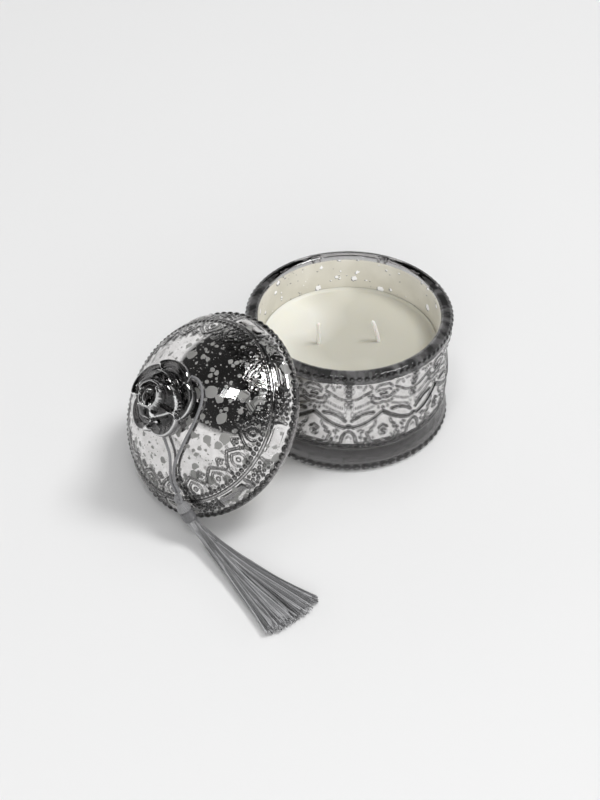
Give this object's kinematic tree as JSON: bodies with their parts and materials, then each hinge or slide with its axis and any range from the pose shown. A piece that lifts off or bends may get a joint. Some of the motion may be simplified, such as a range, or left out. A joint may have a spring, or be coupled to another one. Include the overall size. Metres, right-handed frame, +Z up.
{
  "type": "candle jar",
  "caption": "Squat pressed-glass candle jar with a silvered lining and pale wax; its domed lid with a flower knob and a silk tassel leans on the rim.",
  "frame": {"origin": "middle of the jar's flat base, on the surface it stands on", "axes": "+Z up along the jar's axis; the lid leans on the jar's -Y side"},
  "size_m": [0.1498, 0.1779, 0.0798],
  "materials": {
    "smoke_glass": "clear smoke-grey pressed glass, fire polished",
    "silver_lining": "silver coat with bare spots under a cream lacquer",
    "wax": "satin off-white wax",
    "wick_cotton": "braided cotton, primed with wax",
    "wick_tab_metal": "tinned, satin",
    "sticker_foam": "adhesive foam",
    "tassel_silk": "mid-grey rayon silk, soft sheen",
    "tassel_band_silk": "wrapped thread, silvery grey sheen"
  },
  "bodies": {
    "jar": {"jar_glass": "smoke_glass", "jar_lining": "silver_lining", "wax": "wax", "wick_left": "wick_cotton", "wick_right": "wick_cotton", "wick_tab_left": "wick_tab_metal", "wick_tab_right": "wick_tab_metal", "wick_sticker_left": "sticker_foam", "wick_sticker_right": "sticker_foam"},
    "lid": {"lid_glass": "smoke_glass", "lid_lining": "silver_lining"},
    "cord": {"tassel_cord": "tassel_silk"},
    "tassel": {"tassel_knot": "tassel_silk", "tassel_head": "tassel_silk", "tassel_band": "tassel_band_silk", "tassel_skirt": "tassel_silk"}
  },
  "joints": [
    {"name": "lid_lift", "type": "slide", "parent": "jar", "child": "lid", "axis": [0, 0, 1], "range_m": [0, 0.09]},
    {"name": "cord_swivel", "type": "hinge", "parent": "lid", "child": "cord", "pos_m": [0, -0.08, 0.03739], "axis": [0, -0.75, 0.6614], "range_deg": [0, 110]},
    {"name": "tassel_swing", "type": "hinge", "parent": "cord", "child": "tassel", "pos_m": [0.0223, -0.11912, 0.02282], "axis": [0, -0.7071, -0.7071], "range_deg": [0, 60]}
  ]
}
